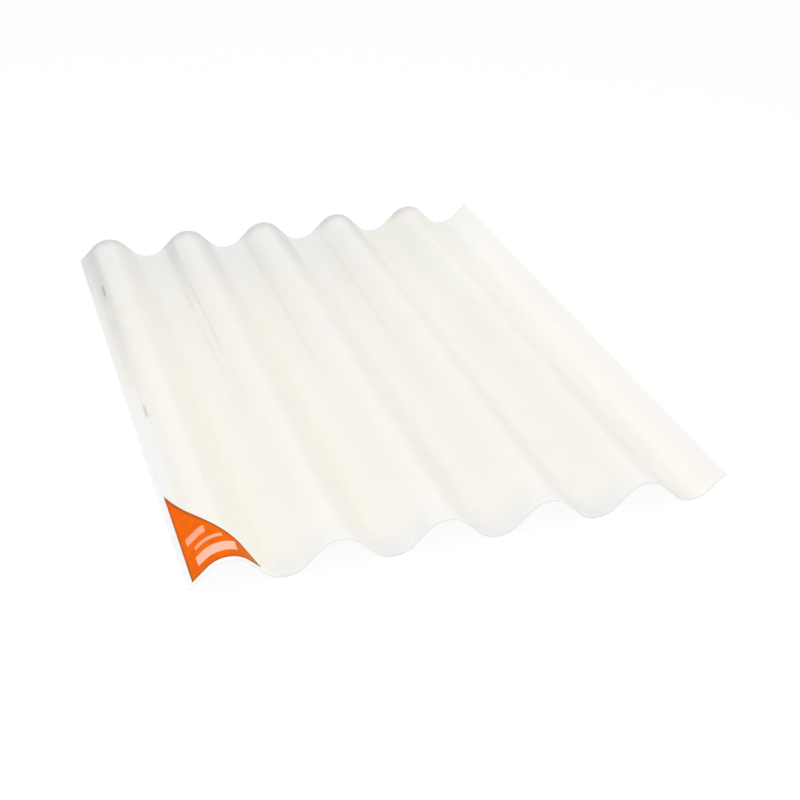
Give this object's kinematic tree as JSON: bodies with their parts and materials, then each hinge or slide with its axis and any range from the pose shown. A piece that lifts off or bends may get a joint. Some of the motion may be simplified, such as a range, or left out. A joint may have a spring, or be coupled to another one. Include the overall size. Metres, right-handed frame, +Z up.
{
  "type": "corrugated pvc roofing sheet",
  "caption": "Translucent milky PVC sheet with round corrugations running along its length, for roofs and canopies, with a plain orange corner label.",
  "frame": {"origin": "middle of the sheet's plan, level with the undersides of the valleys", "axes": "+X across the corrugations towards the up-turned edge, +Y along them away from the labelled end, +Z up"},
  "size_m": [0.92, 1.22, 0.0526],
  "materials": {
    "pvc": "translucent, smooth, slightly glossy",
    "label_film": "printed film, satin"
  },
  "bodies": {
    "root": {"sheet": "pvc", "corner_label": "label_film"}
  },
  "joints": []
}
